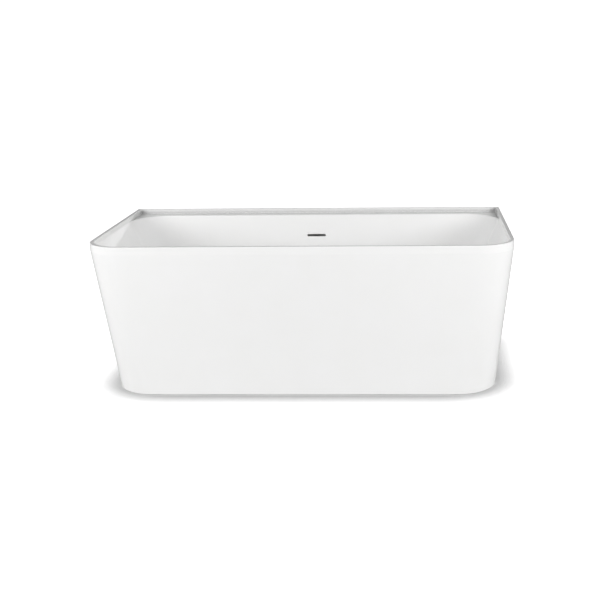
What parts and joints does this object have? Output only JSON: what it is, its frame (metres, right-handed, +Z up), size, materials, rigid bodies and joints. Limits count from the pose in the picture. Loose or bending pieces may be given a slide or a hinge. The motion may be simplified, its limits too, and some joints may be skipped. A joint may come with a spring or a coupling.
{
  "type": "back-to-wall bathtub",
  "caption": "Back-to-wall bathtub: sloped basin with thin raised lip and sunken rear deck, three-sided tapered skirt, steel cradle on levelling feet, pop-up waste and slot overflow.",
  "frame": {"origin": "on the floor, under the centre of the rim", "axes": "+X along the tub's length, +Y towards the wall behind it, +Z up"},
  "size_m": [1.524, 0.762, 0.568],
  "materials": {
    "basin_acrylic": "gloss white thermoformed acrylic",
    "skirt_acrylic": "gloss white thermoformed acrylic",
    "fibreglass": "rolled glass mat and polyester resin",
    "plywood": "raw plywood",
    "frame_steel": "black powder coat",
    "bracket_steel": "galvanised sheet",
    "zinc_fasteners": "zinc plated",
    "stainless": "turned",
    "chrome": "polished chrome plate",
    "brass": "machined",
    "rubber": "moulded",
    "black_plastic": "moulded nylon",
    "white_pvc": "moulded and extruded PVC"
  },
  "bodies": {
    "tub": {"base_board": "plywood", "basin_shell": "basin_acrylic", "board_screws": "zinc_fasteners", "bracket_bolts": "zinc_fasteners", "bracket_front_left": "bracket_steel", "bracket_front_right": "bracket_steel", "bracket_left_front": "bracket_steel", "bracket_left_rear": "bracket_steel", "bracket_right_front": "bracket_steel", "bracket_right_rear": "bracket_steel", "cross_tube_left": "frame_steel", "cross_tube_mid_left": "frame_steel", "cross_tube_mid_right": "frame_steel", "cross_tube_right": "frame_steel", "crossover_pipe": "white_pvc", "drain_flange": "chrome", "drain_flange_seal": "rubber", "drain_tee": "white_pvc", "drain_tee_gasket": "rubber", "fibreglass_backing": "fibreglass", "foot_lock_nuts": "zinc_fasteners", "foot_weld_nuts": "zinc_fasteners", "overflow_box": "white_pvc", "overflow_elbow": "white_pvc", "overflow_gasket": "rubber", "overflow_pipe": "white_pvc", "plug_cartridge": "brass", "rail_end_caps": "black_plastic", "rail_front": "frame_steel", "rail_rear": "frame_steel", "rim_batten": "plywood", "skirt_panel": "skirt_acrylic", "slip_nut_elbow_side": "white_pvc", "slip_nut_elbow_top": "white_pvc", "slip_nut_overflow_outlet": "white_pvc", "slip_nut_tailpiece": "white_pvc", "slip_nut_tee_inlet": "white_pvc", "slip_washers": "rubber", "tailpiece": "white_pvc"},
    "drain_plug": {"plug_cap": "chrome", "plug_stem": "stainless", "plug_seal": "rubber"},
    "foot_front_left": {"foot_stem_front_left": "stainless", "foot_pad_front_left": "black_plastic"},
    "foot_front_middle": {"foot_stem_front_middle": "stainless", "foot_pad_front_middle": "black_plastic"},
    "foot_front_right": {"foot_stem_front_right": "stainless", "foot_pad_front_right": "black_plastic"},
    "foot_rear_left": {"foot_stem_rear_left": "stainless", "foot_pad_rear_left": "black_plastic"},
    "foot_rear_right": {"foot_stem_rear_right": "stainless", "foot_pad_rear_right": "black_plastic"}
  },
  "joints": [
    {"name": "plug_lift", "type": "slide", "parent": "tub", "child": "drain_plug", "axis": [0, 0, 1], "range_m": [0, 0.01]},
    {"name": "foot_screw_front_left", "type": "slide", "parent": "tub", "child": "foot_front_left", "axis": [0, 0, -1], "range_m": [0, 0.02]},
    {"name": "foot_screw_front_middle", "type": "slide", "parent": "tub", "child": "foot_front_middle", "axis": [0, 0, -1], "range_m": [0, 0.02]},
    {"name": "foot_screw_front_right", "type": "slide", "parent": "tub", "child": "foot_front_right", "axis": [0, 0, -1], "range_m": [0, 0.02]},
    {"name": "foot_screw_rear_left", "type": "slide", "parent": "tub", "child": "foot_rear_left", "axis": [0, 0, -1], "range_m": [0, 0.02]},
    {"name": "foot_screw_rear_right", "type": "slide", "parent": "tub", "child": "foot_rear_right", "axis": [0, 0, -1], "range_m": [0, 0.02]}
  ]
}
